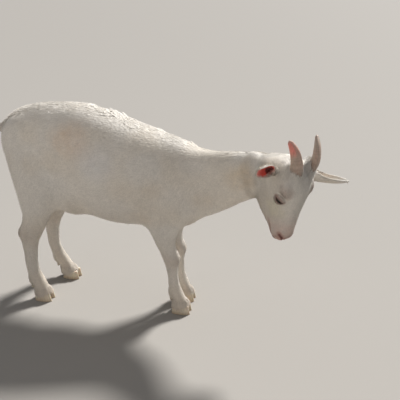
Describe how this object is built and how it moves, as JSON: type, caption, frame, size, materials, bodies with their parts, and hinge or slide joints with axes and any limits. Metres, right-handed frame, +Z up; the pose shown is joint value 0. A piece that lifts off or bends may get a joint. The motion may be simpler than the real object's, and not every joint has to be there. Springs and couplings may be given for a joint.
{
  "type": "white dairy goat, young",
  "caption": "Life-size still model of a young white short-haired goat with small horns, standing with its head lowered and turned to its right.",
  "frame": {"origin": "middle of the bounding box at floor level, between the feet", "axes": "+X towards the goat's front, +Y to the goat's left, +Z up"},
  "size_m": [1.178, 0.3958, 0.6902],
  "materials": {
    "white_coat": "short smooth white hair over skin",
    "ear_skin": "thin pink skin with short white hair on its back",
    "eye": "wet, dark",
    "horn": "dull horn, pinkish grey",
    "claw": "worn pale amber hoof horn"
  },
  "bodies": {
    "root": {"trunk": "white_coat", "neck": "white_coat", "head": "white_coat", "tail": "white_coat", "foreleg_upper_left": "white_coat", "foreleg_lower_left": "white_coat", "foreleg_upper_right": "white_coat", "foreleg_lower_right": "white_coat", "hindleg_upper_left": "white_coat", "hindleg_lower_left": "white_coat", "hindleg_upper_right": "white_coat", "hindleg_lower_right": "white_coat", "ear_left": "ear_skin", "ear_right": "ear_skin", "eye_left": "eye", "eye_right": "eye", "horn_left": "horn", "horn_right": "horn", "claw_fore_left_inner": "claw", "claw_fore_left_outer": "claw", "claw_fore_right_inner": "claw", "claw_fore_right_outer": "claw", "claw_hind_left_inner": "claw", "claw_hind_left_outer": "claw", "claw_hind_right_inner": "claw", "claw_hind_right_outer": "claw", "dewclaw_fore_left_inner": "claw", "dewclaw_fore_left_outer": "claw", "dewclaw_fore_right_inner": "claw", "dewclaw_fore_right_outer": "claw", "dewclaw_hind_left_inner": "claw", "dewclaw_hind_left_outer": "claw", "dewclaw_hind_right_inner": "claw", "dewclaw_hind_right_outer": "claw"}
  },
  "joints": []
}
